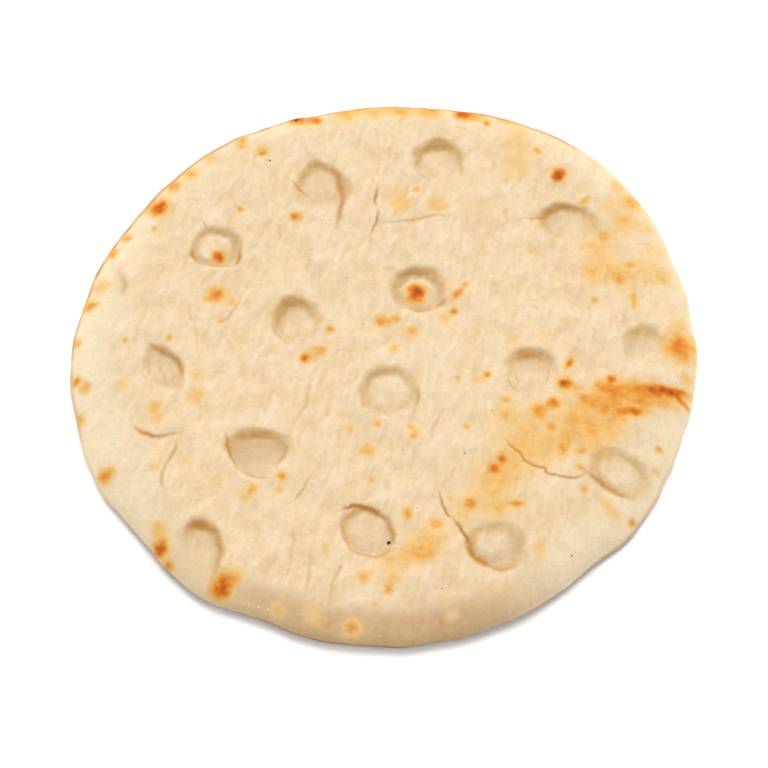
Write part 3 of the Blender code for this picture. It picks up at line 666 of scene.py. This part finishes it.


# where the oven browned it, and a band of painted shade counted as heat: x, y, radius and heat from 0 to 1; a
# streak has length, width and turn too
toast = {
    # painted shade in bands along the rim, given as heat: direction, reach in degrees, radius, half width and
    # heat
    "shadeBands": [(266, 32, 87, 6, 0.1)],
    "rim": [
        (-27, 83.5, 2.6, 0.85), (-24, 83, 3.5, 0.5), (-20.5, 82.3, 1.9, 0.6), (-12, 85.5, 4.0, 0.45),
        (-4, 86.5, 4.5, 0.4), (5, 87, 4.5, 0.45), (14.5, 87, 4.5, 0.5), (24.5, 85.3, 3.0, 0.85),
        (29, 85, 3.2, 0.5), (31.8, 81, 1.3, 0.6), (37.5, 84.5, 3.0, 0.5), (42.5, 83, 2.5, 0.4),
        (48, 81, 2.5, 0.35), (-43.5, 75, 2.0, 0.45), (-43, 72, 1.5, 0.35), (-53, 68.3, 2.6, 0.28),
        (-58.7, 61.9, 2.6, 0.45), (-63.2, 57.5, 2.3, 0.55), (-67, 49.3, 2.4, 0.85), (-67, 49.3, 4.6, 0.3),
        (-68.5, 46, 1.0, 0.3), (-68, 41, 1.2, 0.35), (-76.2, 38.6, 1.6, 0.5), (-80.4, 33.3, 2.0, 0.5),
        (-82.7, 21.5, 3.0, 0.24), (-85.4, 15.3, 2.0, 0.5), (-88.2, 3, 1.4, 0.45), (-87.4, -9.3, 1.5, 0.5),
        (-84.5, -12, 1.8, 0.4), (-85.8, -21.6, 1.9, 0.45), (-76.7, -39.6, 2.6, 0.46),
        (-77, -39.8, 1.3, 0.2), (-60, -61.8, 2.3, 0.84), (-60.6, -56.5, 2.4, 0.34),
        (-58.1, -66.6, 1.6, 0.5), (-43.1, -73.7, 2.8, 0.86), (-40.8, -71.2, 3.0, 0.38),
        (-28.1, -80, 1.9, 0.24), (-8.3, -85, 2.2, 0.36), (85, 0.3, 4.2, 0.48), (84.5, 0.5, 6.0, 0.3),
        (86, -9.6, 2.0, 0.3), (76.4, -32, 1.1, 0.5), (75.1, -38.3, 1.2, 0.3), (68, -53.5, 1.2, 0.45),
        (-18.3, -81, 2.6, 0.14), (18, -82, 1.6, 0.14), (64.4, 66, 2.5, 0.12), (70.7, 59.8, 2.4, 0.12),
        (81.5, 25, 3.5, 0.12), (85.5, 8, 2.0, 0.16),
    ],
    "right": [
        (51.1, -12.2, 1.6, 0.95), (51.4, -11.8, 3.0, 0.25), (64.5, -10.3, 1.5, 0.6),
        (60.2, -11.9, 1.2, 0.25), (64, -25, 4.0, 0.2), (63.5, -13.5, 3.0, 0.35), (66, -15.5, 3.0, 0.3),
        (58, -18, 2.5, 0.25), (47.4, -18.7, 1.9, 0.58), (43.7, -21, 2.3, 0.52), (46.8, -25.7, 1.5, 0.3),
        (54.5, -33.3, 1.2, 0.4), (53.9, -38.6, 1.3, 0.45), (34.3, -17.4, 1.4, 0.35),
        (33.6, -22.2, 2.2, 0.2), (29.5, -9.3, 1.1, 0.6), (26.5, -11, 2.2, 0.22), (21, -10.5, 1.0, 0.45),
        (23, -26, 1.2, 0.4), (58, -30, 6.0, 0.14), (55, -45, 1.2, 0.42), (32.6, -36.1, 1.4, 0.6),
        (30.3, -39.0, 1.5, 0.72), (36.2, -38, 1.2, 0.15), (33, -39, 6.0, 0.13), (27, -42, 6.0, 0.08),
        (30, -46.5, 4.5, 0.14), (23.5, -49.7, 1.5, 0.45), (23.4, -49.8, 3.0, 0.15),
        (18.3, -47.9, 0.9, 0.25), (31.5, -51.5, 1.8, 0.2), (37, -33, 4.0, 0.12), (43, -36, 5.0, 0.14),
        (40, -25, 5.0, 0.16), (61, -14, 2.0, 0.26), (62.5, -19.5, 2.4, 0.26), (56, -17, 1.8, 0.24),
        (53, -23, 2.2, 0.16), (72, -18, 2.6, 0.2), (58, -24.5, 2.0, 0.14), (66, -22.5, 2.4, 0.16),
        (51, -29, 1.8, 0.22), (45, -29.5, 1.8, 0.16), (60, -33.5, 2.2, 0.14), (63, -29.5, 1.8, 0.12),
        (54, -13.5, 1.6, 0.2), (57.5, -28, 1.6, 0.18), (34, -21, 5.0, 0.14), (30, -28, 5.0, 0.1),
        (38, -29, 4.0, 0.1),
    ],
    "far": [
        (52.9, 60.8, 2.3, 1.0), (46.7, 69.8, 1.4, 0.4), (41, 77, 3.0, 0.18), (40, 71, 7.0, 0.14),
        (41, 63, 4.5, 0.15), (36, 60, 4.0, 0.1), (43.7, 33.8, 1.6, 0.28), (72.5, 28.5, 1.3, 0.45),
        (67.6, 24, 1.4, 0.2), (69.5, 22.6, 1.2, 0.22), (61.2, 16, 1.3, 0.35), (65.5, 38.8, 2.2, 0.14),
        (73.8, 51.5, 2.5, 0.12), (64, 28, 6.5, 0.22), (69, 24, 4.0, 0.2), (75, 25, 5.5, 0.18),
        (63, 35, 4.5, 0.16), (71, 42, 6.0, 0.18), (74, 52, 5.0, 0.2), (80, 33, 5.0, 0.16),
        (67, 50, 2.5, 0.15), (60, 22, 3.0, 0.12), (78, 42, 2.5, 0.15), (36.5, 2.5, 1.7, 0.25),
        (46, 4, 2.2, 0.18), (52, 9, 1.6, 0.18), (83, 12, 5.0, 0.1), (74.4, 51.2, 2.2, 0.26),
        (70.3, 57.1, 2.0, 0.22), (71.5, 44.6, 2.4, 0.2), (81.8, 23.6, 2.6, 0.2), (64.9, 38.8, 1.8, 0.2),
        (60.6, 25.7, 2.2, 0.2), (41.9, 71.4, 2.2, 0.1), (-26.5, 45, 1.9, 0.62), (9.8, 55, 1.3, 0.45),
        (5, 50, 3.6, 0.3), (3, 56, 3.0, 0.12), (16, 49.8, 3.2, 0.3), (-37.2, 70, 2.2, 0.35),
        (-37, 68.8, 1.1, 0.5), (-42.8, 48, 1.2, 0.6), (-38.6, 30, 1.6, 0.1), (-14, 66, 3.0, 0.08),
    ],
    "middle": [
        (9.6, 18.6, 3.0, 1.0), (-48.4, 31, 2.1, 0.85), (23.8, 21.3, 1.0, 0.4), (20.5, 12, 1.4, 0.62),
        (18, 9.5, 2.4, 0.25), (0, 8.5, 2.4, 0.5), (3.7, 9, 1.5, 0.52), (8, 5, 2.3, 0.36),
        (3, -0.5, 1.8, 0.34), (-15.3, 6, 1.4, 0.5), (-13, 3, 1.0, 0.15), (-18, -1, 1.7, 0.45),
        (-22.5, -3.5, 1.5, 0.7), (-20.5, -2.5, 2.5, 0.25), (-17.5, 9.5, 1.2, 0.2), (-49, 18.3, 2.7, 0.6),
        (-51.6, 16.2, 1.4, 0.25), (-46, 17.5, 4.0, 0.14), (-43.9, 15.3, 1.4, 0.28),
        (-47.1, 9.2, 1.2, 0.3), (-61.4, 3.4, 1.2, 0.45), (-74, 2.4, 0.9, 0.5), (-50, 25.5, 1.2, 0.2),
        (-64, -19.6, 2.1, 0.42), (-63.2, -23.4, 2.0, 0.26), (-53.1, -9.2, 2.2, 0.28),
        (-53, -15.7, 2.8, 0.3), (-73.8, -12.1, 2.2, 0.22), (-36, -45.2, 1.8, 0.45),
        (-38, -47.6, 2.0, 0.26), (-27.9, -41.3, 1.7, 0.45), (-28.5, -44.9, 1.4, 0.34),
        (-45.5, -43, 2.0, 0.18), (-63, -38.5, 1.5, 0.22), (-60, -34, 4.0, 0.08),
        (-54.7, -36.6, 1.5, 0.24), (-67, -26.5, 2.0, 0.12), (-2, -25, 1.3, 0.45),
        (-9.5, -26.5, 1.5, 0.32), (-11, -22, 1.8, 0.15), (7.6, -26, 1.2, 0.4), (8.6, -28.6, 1.5, 0.4),
        (-4.5, -33.5, 2.4, 0.36), (-3.3, -42.5, 1.4, 0.3), (6.5, -51.8, 1.4, 0.36),
        (6.6, -53.2, 1.4, 0.36), (14.1, -55.6, 1.4, 0.4), (-5.6, -71.3, 2.2, 0.38),
        (1.4, -75.1, 1.2, 0.42), (2.4, -71.6, 2.4, 0.2), (1.6, -73.5, 1.8, 0.14),
        (-2.3, -79.1, 1.0, 0.26), (11, -62, 5.0, 0.12), (13.5, -58.5, 4.0, 0.1),
        (-15.7, -62.0, 1.2, 0.24), (-15.9, -63.6, 1.1, 0.2), (-11.2, -63.5, 1.3, 0.13),
        (28, -74.5, 2.4, 0.12), (20, -52, 4.0, 0.1),
    ],
    "streaks": [
        (68, -16.5, 11, 6, 4, 0.34), (77.5, -14, 8.5, 1.9, -3, 0.66), (83, -14.2, 3.4, 1.2, 0, 0.5),
        (84.2, -16.8, 3.2, 0.9, -42, 0.6), (80, -14.3, 3.0, 1.5, 0, 0.45), (69.4, -21, 4.0, 1.3, 0, 0.66),
        (52.8, -5.4, 2.4, 1.1, 60, 0.68), (49.6, -32.7, 1.6, 2.6, 0, 0.4), (49, -26, 8, 10, 0, 0.12),
        (78, -17.5, 6, 2.2, -8, 0.3), (56, -22, 7, 6, 20, 0.22), (60, -29, 9, 4, 10, 0.1),
        (21.6, 18, 3.0, 1.3, 55, 0.55), (36.3, -49.7, 2.6, 1.0, 0, 0.55), (-84.5, 14.8, 3.2, 1.0, 8, 0.2),
        (60.3, 51.5, 2.2, 1.1, 40, 0.45), (72.8, 16, 1.3, 3.4, 0, 0.42), (60, 35, 5, 1.2, 5, 0.12),
        (61.5, -50.5, 5.0, 2.0, -50, 0.2), (41.3, -62.5, 1.6, 4.2, 0, 0.22),
        (6, -65.3, 7.5, 2.8, 22, 0.2), (10.8, -64.8, 3.6, 1.9, 10, 0.18), (30, -45, 13, 6, 50, 0.12),
        (40, -34, 14, 7, 35, 0.1), (8, -64, 12, 6, 35, 0.12), (33, -52, 6, 3, 0, 0.12),
    ],
}

underside = {"spots": 90, "radius": (1.2, 5.5), "narrowness": (0.6, 1), "heat": (0.25, 0.85), "within": 84,
             "seed": 5}
# browned spots waver by up to about this much, over about this size, and end as steeply as edge says;
# the top's browning gives way to the underside's between these heights
toastForm = {"warp": 1.2, "warpSize": 2.6, "warpByWidth": 0.25, "edge": 2.4, "sides": (0.6, 3.0)}


def browning(x, y, spots, warp):
    # heats add up the way stains do, and never pass 1
    left = np.ones_like(x)
    for centreX, centreY, length, width, turn, heat in spots:
        c, s = math.cos(math.radians(turn)), math.sin(math.radians(turn))
        waver = min(1.0, toastForm["warpByWidth"] * width)
        dx = x - centreX + warp[:, 0] * waver
        dy = y - centreY + warp[:, 1] * waver
        off = np.hypot((dx * c + dy * s) / length, (dy * c - dx * s) / width)
        left *= 1 - heat * np.exp(-off ** toastForm["edge"])
    return 1 - left


# painted shade along the rim, as heat that the browning's tones colour
def rimBandShade(x, y):
    left = np.ones_like(x)
    for direction, reach, radius, width, heat in toast["shadeBands"]:
        away = (np.degrees(np.arctan2(y, x)) - direction + 180) % 360 - 180
        left *= 1 - heat * np.exp(-(away / reach) ** 2 - ((np.hypot(x, y) - radius) / width) ** 2)
    return 1 - left


def storeBrowningAndShade(obj):
    mesh = obj.data
    points = np.zeros(len(mesh.vertices) * 3)
    mesh.vertices.foreach_get("co", points)
    points = points.reshape(-1, 3) / mm
    warp = [noise.noise_vector(Vector(point) / toastForm["warpSize"]) for point in points]
    warp = np.array(warp) * toastForm["warp"]
    x, y, z = points.T
    x, y = x - dough["patternMiddle"][0], y - dough["patternMiddle"][1]
    low, high = toastForm["sides"]
    above = np.clip((z - low) / (high - low), 0, 1)
    above = above * above * (3 - 2 * above)
    top = [(a, b, r, r, 0, h) for part in ("rim", "right", "far", "middle") for a, b, r, h in toast[part]]
    rng = random.Random(underside["seed"])
    foot = []
    for _ in range(underside["spots"]):
        radius = underside["within"] * math.sqrt(rng.random())
        around = rng.uniform(0, 2 * math.pi)
        size = rng.uniform(*underside["radius"])
        width = size * rng.uniform(*underside["narrowness"])
        foot.append((radius * math.cos(around), radius * math.sin(around), size, width,
                     rng.uniform(0, 180), rng.uniform(*underside["heat"])))
    # the top's heat takes in the painted shade of the rim's bands
    topHeatAndShade = 1 - (1 - browning(x, y, top + toast["streaks"], warp)) * (1 - rimBandShade(x, y))
    store(mesh, "browning", above * topHeatAndShade + (1 - above) * browning(x, y, foot, warp))


# heat of the browning, and the colour it gives
crustTones = {0.00: "#EBD0A6", 0.20: "#EDC88A", 0.36: "#ECB665",
              0.52: "#E89A3C", 0.70: "#DB781C", 0.95: "#B24C0A"}
crust = {
    "cream": "#EFDABB",
    "gold": "#E7C99A",
    # the pale rim tone is partly painted light; the front rim, dimple floor and wall tones are painted shade,
    # the foot tone painted shadow, and the crack tone partly painted shade
    "paleRimAndPaintedLight": "#F6E4C2",
    "rimStrip": "#B47836",
    "frontRimShade": "#BA905C",
    "floor": "#D2B489",
    "wall": "#CFA86C",
    "foot": "#8A6238",
    "crack": "#C28A3C",
    "roughness": 0.8,
    "toastRoughness": 0.62,
    "specular": 0.12,
    "subsurface": 0.35,
    "subsurfaceDepth": 1.6 * mm,
    "subsurfaceSpread": (1.0, 0.5, 0.25),
    # uneven patterns: size, detail and roughness
    "grain": (0.5 * mm, 3.0, 0.55),
    "pore": (1.4 * mm, 3.0, 0.55),
    "mottle": (5.5 * mm, 1.5, 0.5),
    "spotty": (2.4 * mm, 3.0, 0.6),
    "ragged": (0.9 * mm, 4.0, 0.6),
    "fibre": (1.0, 2.0, 0.5),        # its place is already stretched to the two sizes below
    "fibreWidth": 1.1 * mm,
    "fibreLength": 3.4 * mm,
    # how far each stands up in the light
    "poreRise": 0.27 * mm,
    "fibreRise": 0.07 * mm,
    "grainRise": 0.04 * mm,
    "crackRise": 0.05 * mm,
    # how much a pattern swings a share or the lightness, and about what middle
    "goldByMottle": (0.8, 0.48),
    "paintedWarmShadeByPore": (0.4, 0.0),
    "paintedWarmShadeByRelief": 0.075,
    "heatByRagged": (0.3, 1.0),
    "heatBySpotty": (1.1, 1.0),
    "stripByMottle": (1.3, 0.75),
    "wallShadeByFibre": (1.0, 1.0),
    "crackByRagged": (1.2, 1.5),
    "lightByGrain": (0.05, 0.81),
    "lightByPore": (0.07, 1.0),
    "lightByFibre": (0.08, 1.0),
    "paintedShadeByRelief": 0.010,
    "heatCover": 6.0,                # how soon browning hides the plain crust
    "wallShadeShare": 0.7,
    "seamShare": 0.8,
    # where a tone comes in: from where, to where, and how much of it where that isn't all
    "paleShare": (0.80, 0.95),
    "paleLeftX": (-40 * mm, -82 * mm, 0.7),
    "paleRightX": (40 * mm, 82 * mm, 0.35),
    "paintedLightNearX": (18 * mm, 50 * mm),
    "paintedLightNearY": (5 * mm, -25 * mm, 0.55),
    "frontShadeShare": (0.87, 0.97, 0.95),
    "frontShadeX": (52 * mm, 14 * mm),
    "frontShadeY": (-38 * mm, -76 * mm),
    "stripShare": (0.980, 0.997),
    "stripWider": (0.0, 60 * mm, 0.013),
    "stripX": (72 * mm, 42 * mm),
    "stripY": (-40 * mm, 10 * mm),
    "stripZ": (0.3 * mm, 1.5 * mm),
    "stripLift": (0.0, 40 * mm, 2.3 * mm),
    "footShadowZ": (2.2 * mm, 0.8 * mm),
    "footShadowY": (-30 * mm, -66 * mm, 0.85),
}


def newMaterial(name):
    material = bpy.data.materials.new(name)
    material.use_nodes = True
    return material, material.node_tree, material.node_tree.nodes["Principled BSDF"]


def setShader(shader, values):
    for name, value in values.items():
        shader.inputs[name].default_value = value


def setRamp(ramp, tones):
    # tones are places along the ramp and the colours there
    stops = ramp.node.color_ramp.elements
    while len(stops) < len(tones):
        stops.new(0.5)
    for stop, (where, hexText) in zip(stops, tones.items()):
        stop.position = where
        stop.color = linearColour(hexText)


def crustMaterial():
    # baked wheat crust, oven browned: matt, floury and a little translucent, and the toasted spots shine more
    material, tree, shader = newMaterial("oven-baked wheat crust")
    add, product, fade, hill = nodeTools(tree)
    place = add("TexCoord", out="Object")
    x, y, z = add("SeparateXYZ", place).node.outputs
    stored = {name: add("Attribute", attribute_name=name, out="Fac") for name in (
        "browning", "rimShare", "relief", "pit", "wall", "crack", "crackOff", "seam")}

    def pattern(name, where=place):
        size, detail, rough = crust[name]
        return add("TexNoise", out="Fac", inputs={
            "Vector": where, "Scale": 1 / size, "Detail": detail, "Roughness": rough})

    def swing(value, name):
        # turns a pattern of 0 to 1 into a factor that swings about a middle
        amount, middle = crust[name]
        return add("MULTIPLY_ADD", add("SUBTRACT", value, 0.5), amount, middle)

    def fadeIn(value, name):
        return fade(value, *crust[name])

    def blend(share, base, over, mode="MIX"):
        # base and over are colours made by nodes, or tones of the crust by name
        base, over = (linearColour(crust[tone]) if isinstance(tone, str) else tone for tone in (base, over))
        return add("Mix", data_type="RGBA", blend_type=mode, inputs={0: share, 6: base, 7: over}, out=2)

    grain, pore, mottle, spotty, ragged = map(pattern, ("grain", "pore", "mottle", "spotty", "ragged"))
    leant = add("Mapping", inputs={
        "Vector": place, "Rotation": (0, 0, math.radians(90 - wrinkles["lean"])),
        "Scale": (1 / crust["fibreWidth"], 1 / crust["fibreLength"], 1 / crust["fibreWidth"])})
    fibre = pattern("fibre", leant)

    # unbrowned crust: cream and golden in mottles, with painted warm shade making its hollows and pores more
    # golden
    golden = product(stored["relief"], crust["paintedWarmShadeByRelief"])
    golden = add("SUBTRACT", swing(mottle, "goldByMottle"), golden)
    golden = add("SUBTRACT", golden, swing(pore, "paintedWarmShadeByPore"), use_clamp=True)
    colour = blend(golden, "cream", "gold")

    # paler crust round the sides of the rim, with painted light on the front-right shoulder; painted shade
    # darkens the front of the rim, where it turns away from the light
    near = product(fadeIn(x, "paintedLightNearX"), fadeIn(y, "paintedLightNearY"))
    sides = add("MAXIMUM", fadeIn(x, "paleLeftX"), fadeIn(x, "paleRightX"))
    sides = add("MAXIMUM", sides, near)
    colour = blend(product(fadeIn(stored["rimShare"], "paleShare"), sides), colour, "paleRimAndPaintedLight")
    frontRimShade = product(fadeIn(stored["rimShare"], "frontShadeShare"), fadeIn(y, "frontShadeY"),
                       fadeIn(add("ABSOLUTE", x), "frontShadeX"))
    colour = blend(frontRimShade, colour, "frontRimShade")
    # painted shade in the dimples' floors, as strong as each dimple's shade
    colour = blend(add("Clamp", stored["pit"]), colour, "floor")

    # the browning breaks up into spots with ragged edges
    broken = product(swing(ragged, "heatByRagged"), swing(spotty, "heatBySpotty"))
    heat = add("MULTIPLY", stored["browning"], broken, use_clamp=True)
    browned = add("ValToRGB", heat)
    setRamp(browned, crustTones)
    colour = blend(add("MULTIPLY", heat, crust["heatCover"], use_clamp=True), colour, browned)

    # a thin browned line along the rim, and painted shadow on the lowest part of the front rim
    outermost = add("ADD", stored["rimShare"], fadeIn(y, "stripWider"))
    level = add("SUBTRACT", z, fadeIn(y, "stripLift"))
    strip = product(fadeIn(outermost, "stripShare"), fadeIn(y, "stripY"), fadeIn(x, "stripX"),
                    add("SUBTRACT", 1.0, heat), fadeIn(level, "stripZ"))
    strip = add("MULTIPLY", strip, swing(mottle, "stripByMottle"), use_clamp=True)
    colour = blend(strip, colour, "rimStrip")
    colour = blend(product(fadeIn(z, "footShadowZ"), fadeIn(y, "footShadowY")), colour, "foot")

    # painted warm shade on the dimples' walls, most on their deeper side; browning and painted shade along
    # the cracks, and painted shade in the seam's slit
    wall = product(swing(fibre, "wallShadeByFibre"), crust["wallShadeShare"])
    colour = blend(add("MULTIPLY", stored["wall"], wall, use_clamp=True), colour, "wall")
    line = product(hill(stored["crackOff"], 1.0), stored["crack"])
    cracked = add("MULTIPLY", line, swing(ragged, "crackByRagged"), use_clamp=True)
    colour = blend(cracked, colour, "crack")
    colour = blend(add("MULTIPLY", stored["seam"], crust["seamShare"], use_clamp=True), colour, "crack")
    # lighter and darker by the grain, pores and fibres, with painted shade in the skin's hollows by its
    # relief; the grain's middle sets the crust's lightness
    light = product(swing(grain, "lightByGrain"), swing(pore, "lightByPore"), swing(fibre, "lightByFibre"),
                    add("MULTIPLY_ADD", stored["relief"], crust["paintedShadeByRelief"], 1.0))
    colour = blend(1.0, colour, add("CombineColor", light, light, light), "MULTIPLY")
    tree.links.new(colour, shader.inputs["Base Color"])

    gloss = add("MapRange", heat, inputs={3: crust["roughness"], 4: crust["toastRoughness"]})
    tree.links.new(gloss, shader.inputs["Roughness"])
    setShader(shader, {
        "Specular IOR Level": crust["specular"], "Subsurface Weight": crust["subsurface"],
        "Subsurface Radius": crust["subsurfaceSpread"], "Subsurface Scale": crust["subsurfaceDepth"]})

    normal = {}
    for height, rise in ((pore, "poreRise"), (fibre, "fibreRise"), (grain, "grainRise"),
                         (add("SUBTRACT", 1.0, line), "crackRise")):
        bump = add("Bump", inputs={"Height": height, "Strength": 1.0, "Distance": crust[rise], **normal})
        normal = {"Normal": bump}
    tree.links.new(bump, shader.inputs["Normal"])
    return material


def speckMaterial(name, colours, roughness, specular):
    # small loose bits: one tone fading into another from bit to bit
    material, tree, shader = newMaterial(name)
    place = addNode(tree, "TexCoord", out="Object")
    patch = addNode(tree, "TexNoise", out="Fac", inputs={
        "Vector": place, "Scale": 1 / specks["patchSize"], "Detail": 1.0})
    tones = addNode(tree, "ValToRGB", patch)
    setRamp(tones, dict(zip(specks["patchEdges"], colours)))
    tree.links.new(tones, shader.inputs["Base Color"])
    setShader(shader, {"Roughness": roughness, "Specular IOR Level": specular})
    return material


# loose bits on the skin
specks = {"patchSize": 3.0 * mm, "patchEdges": (0.35, 0.65)}    # how their two tones take turns
grains = {"Density": 8000.0, "Smallest": 0.06 * mm, "Largest": 0.15 * mm, "Flatness": 0.6, "Seed": 3}
bran = {"Density": 900.0, "Smallest": 0.10 * mm, "Largest": 0.22 * mm, "Flatness": 0.35, "Seed": 8}
bitForm = {"Upward": 0.3, "Lump size": 0.25 * mm, "Lump height": 0.12 * mm}


def buildScatterTree(name, sizes):
    # bits of uneven size, scattered over the upper side and sunk a little into it
    tree, given, made = newTree(name, sizes)
    add, product, _, _ = nodeTools(tree)
    size = given.outputs
    up = add("SeparateXYZ", add("GeometryNodeInputNormal"), out=2)
    upper = add("FunctionNodeCompare", up, size["Upward"], operation="GREATER_THAN")
    points = add("GeometryNodeDistributePointsOnFaces", size["Geometry"], inputs={
        "Selection": upper, "Density": size["Density"], "Seed": size["Seed"]}).node.outputs
    bit = add("GeometryNodeMeshIcoSphere", 1.0, 2)
    width = add("FunctionNodeRandomValue", data_type="FLOAT", out=1, inputs={
        2: size["Smallest"], 3: size["Largest"], "Seed": size["Seed"]})
    scale = add("CombineXYZ", width, width, product(width, size["Flatness"]))
    bits = add("GeometryNodeInstanceOnPoints", inputs={
        "Points": points["Points"], "Instance": bit, "Rotation": points["Rotation"], "Scale": scale})
    solid = add("GeometryNodeRealizeInstances", bits)
    place, fineness = add("GeometryNodeInputPosition"), add("DIVIDE", 1.0, size["Lump size"])
    lumps = add("TexNoise", out="Color", inputs={"Vector": place, "Scale": fineness, "Detail": 1.0})
    lumps = add("VectorMath", lumps, (0.5, 0.5, 0.5), operation="SUBTRACT")
    lumps = add("VectorMath", lumps, operation="SCALE", inputs={"Scale": size["Lump height"]})
    solid = add("GeometryNodeSetPosition", solid, inputs={"Offset": lumps})
    solid = add("GeometryNodeSetMaterial", solid, inputs={"Material": size["Material"]})
    tree.links.new(solid, made.inputs[0])
    return tree


def scatter(name, bread, sizes, material):
    sizes = {**sizes, **bitForm, "Material": material}
    bits = newObject(name, bread.data.copy())
    return applyTree(bits, buildScatterTree(name, sizes), sizes)


# single bits that lie where they fell: x, y and size
charredCrumbs = ((1.3, -61.0, 0.5), (-34.5, 66, 0.3), (51, -65, 0.22), (22.3, -34.4, 0.2), (-27.5, 83.3, 0.5))
looseGrains = ((-37.4, -79.2, 0.14), (-36.2, -79.9, 0.18), (-35.3, -78.8, 0.12), (-33.6, -80.1, 0.2),
               (-32.4, -79.5, 0.14), (-31.0, -80.6, 0.18), (-24.6, -70.2, 0.14), (-26.3, -69.6, 0.12))
pebble = {"lumpSize": 0.5 * mm, "lumpiness": 0.5, "flatness": 0.6}


def placeBits(name, bread, bits, material):
    # each bit is a lumpy pebble, half sunk where it meets the skin
    skin = BVHTree.FromObject(bread, bpy.context.evaluated_depsgraph_get())
    work = bmesh.new()
    middleX, middleY = dough["patternMiddle"]
    for x, y, size in bits:
        x, y = x + middleX, y + middleY
        hit = skin.find_nearest(Vector((x, y, dough["thickness"])) * mm)[0]
        made = bmesh.ops.create_icosphere(work, subdivisions=3, radius=size * mm)["verts"]
        for vertex in made:
            lump = noise.noise(vertex.co / pebble["lumpSize"] + Vector((x, y, 0)))
            vertex.co *= 1 + pebble["lumpiness"] * lump
            vertex.co.z *= pebble["flatness"]
            vertex.co += hit
    mesh = bpy.data.meshes.new(name)
    work.to_mesh(mesh)
    work.free()
    mesh.shade_smooth()
    mesh.materials.append(material)
    return newObject(name, mesh)


# studio: camera in millimetres and degrees
shot = {"lens": 85.0, "elevation": 60.0, "distance": 515.5, "aim": (0.2, -10.5, 3.7)}
studio = {
    "floor": "#FFFFFF",
    "floorRoughness": 0.9,
    "floorSpecular": 0.1,
    "floorRadius": 6000.0,
    "floorDrop": 0.05,       # how far below the bread it lies
    "airLow": 1.30,          # brightness of the white surround near the horizon
    "airHigh": 0.45,         # and overhead
    "airSpan": (12, 45),     # elevations between which it fades
    "airFront": 0.0,         # what is left of it on the camera's side
    "frontSpan": (-0.7, 0.2),    # how far round that side reaches
    "airHorizon": 0.78,      # and what is left there close to the horizon, below these elevations
    "horizonSpan": (9, 14),
    "suns": (   # name, direction it comes from, elevation, angle it fills, strength
        ("key behind left", 102, 54, 44, 1.16),
        ("key behind right", 80, 54, 44, 1.20),
        ("fill left", 190, 27, 40, 1.1),
        ("fill right", -20, 27, 40, 1.2),
    ),
}


def buildStudio():
    scene = bpy.context.scene
    bpy.ops.mesh.primitive_circle_add(vertices=96, radius=studio["floorRadius"] * mm, fill_type="NGON",
                                      location=(0, 0, -studio["floorDrop"] * mm))
    floor = bpy.context.object
    floor.name = "studio_floor"
    paper, _, shader = newMaterial("matt white paper sweep")    # plain, bright and without shine
    setShader(shader, {"Base Color": linearColour(studio["floor"]), "Roughness": studio["floorRoughness"],
                       "Specular IOR Level": studio["floorSpecular"]})
    floor.data.materials.append(paper)

    for name, direction, elevation, fills, strength in studio["suns"]:
        lamp = bpy.data.lights.new(name, "SUN")
        lamp.angle = math.radians(fills)
        lamp.energy = strength
        turn, rise = math.radians(direction), math.radians(elevation)
        towards = Vector((math.cos(turn) * math.cos(rise), math.sin(turn) * math.cos(rise), math.sin(rise)))
        newObject(name, lamp).rotation_euler = towards.to_track_quat("Z", "Y").to_euler()

    world = bpy.data.worlds.new("studio air")
    world.use_nodes = True
    add, product, fade, _ = nodeTools(world.node_tree)
    _, ahead, upward = add("SeparateXYZ", add("TexCoord", out="Generated")).node.outputs
    air, horizon = (np.sin(np.radians(studio[span])).tolist() for span in ("airSpan", "horizonSpan"))
    bright = fade(upward, *air, studio["airHigh"], studio["airLow"])
    behind = fade(ahead, *studio["frontSpan"], 1.0, studio["airFront"])
    behind = add("MAXIMUM", behind, fade(upward, *horizon, 0.0, studio["airHorizon"]))
    background = world.node_tree.nodes["Background"]
    world.node_tree.links.new(product(bright, behind), background.inputs["Strength"])
    background.inputs["Color"].default_value = (1, 1, 1, 1)
    scene.world = world
    scene.view_settings.view_transform = "Standard"

    camera = newObject("camera", bpy.data.cameras.new("camera"))
    camera.data.lens = shot["lens"]
    tilt = math.radians(shot["elevation"])
    aim = Vector(shot["aim"]) * mm
    back = Vector((0, -math.cos(tilt), math.sin(tilt)))
    camera.location = aim + back * shot["distance"] * mm
    camera.rotation_euler = back.to_track_quat("Z", "Y").to_euler()
    scene.camera = camera


buildStudio()
print("studio and camera placed")

bread = buildDough()
print("dough disc:", len(bread.data.vertices), "points,", len(bread.data.polygons), "faces")

crustFinish = crustMaterial()
dimplePoints, foldRoutes = buildDimplePoints(), buildFoldRoutes()
skin = {**skinSizes, "Dimples": dimplePoints, "Folds": foldRoutes, "Crust": crustFinish}
applyTree(bread, buildSkinTree(skin), skin)
for helper in (dimplePoints, foldRoutes):
    bpy.data.objects.remove(helper)
storeBrowningAndShade(bread)
print("skin docked, folded and browned")

flourGrains = scatter("semolina_grains", bread, grains,
                      speckMaterial("semolina grit", ("#EAD7B6", "#F3E5CB"), 0.7, 0.2))
branFlecks = scatter("bran_flecks", bread, bran,
                     speckMaterial("toasted bran flake", ("#94703F", "#BC9868"), 0.7, 0.2))
charred = placeBits("charred_crumbs", bread, charredCrumbs,
                    speckMaterial("charred dough crumb", ("#2A1A12", "#4A2C16"), 0.6, 0.3))
spilt = placeBits("spilt_flour_grains", bread, looseGrains,
                  speckMaterial("coarse semolina grit", ("#EEDFC2", "#F7ECD6"), 0.7, 0.2))
print("loose bits:", ", ".join(f"{bits.name} {len(bits.data.polygons)} faces"
                               for bits in (flourGrains, branFlecks, charred, spilt)))

for piece in (bread, flourGrains, branFlecks, charred, spilt):
    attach(piece, "root")
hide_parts("pita_bread")
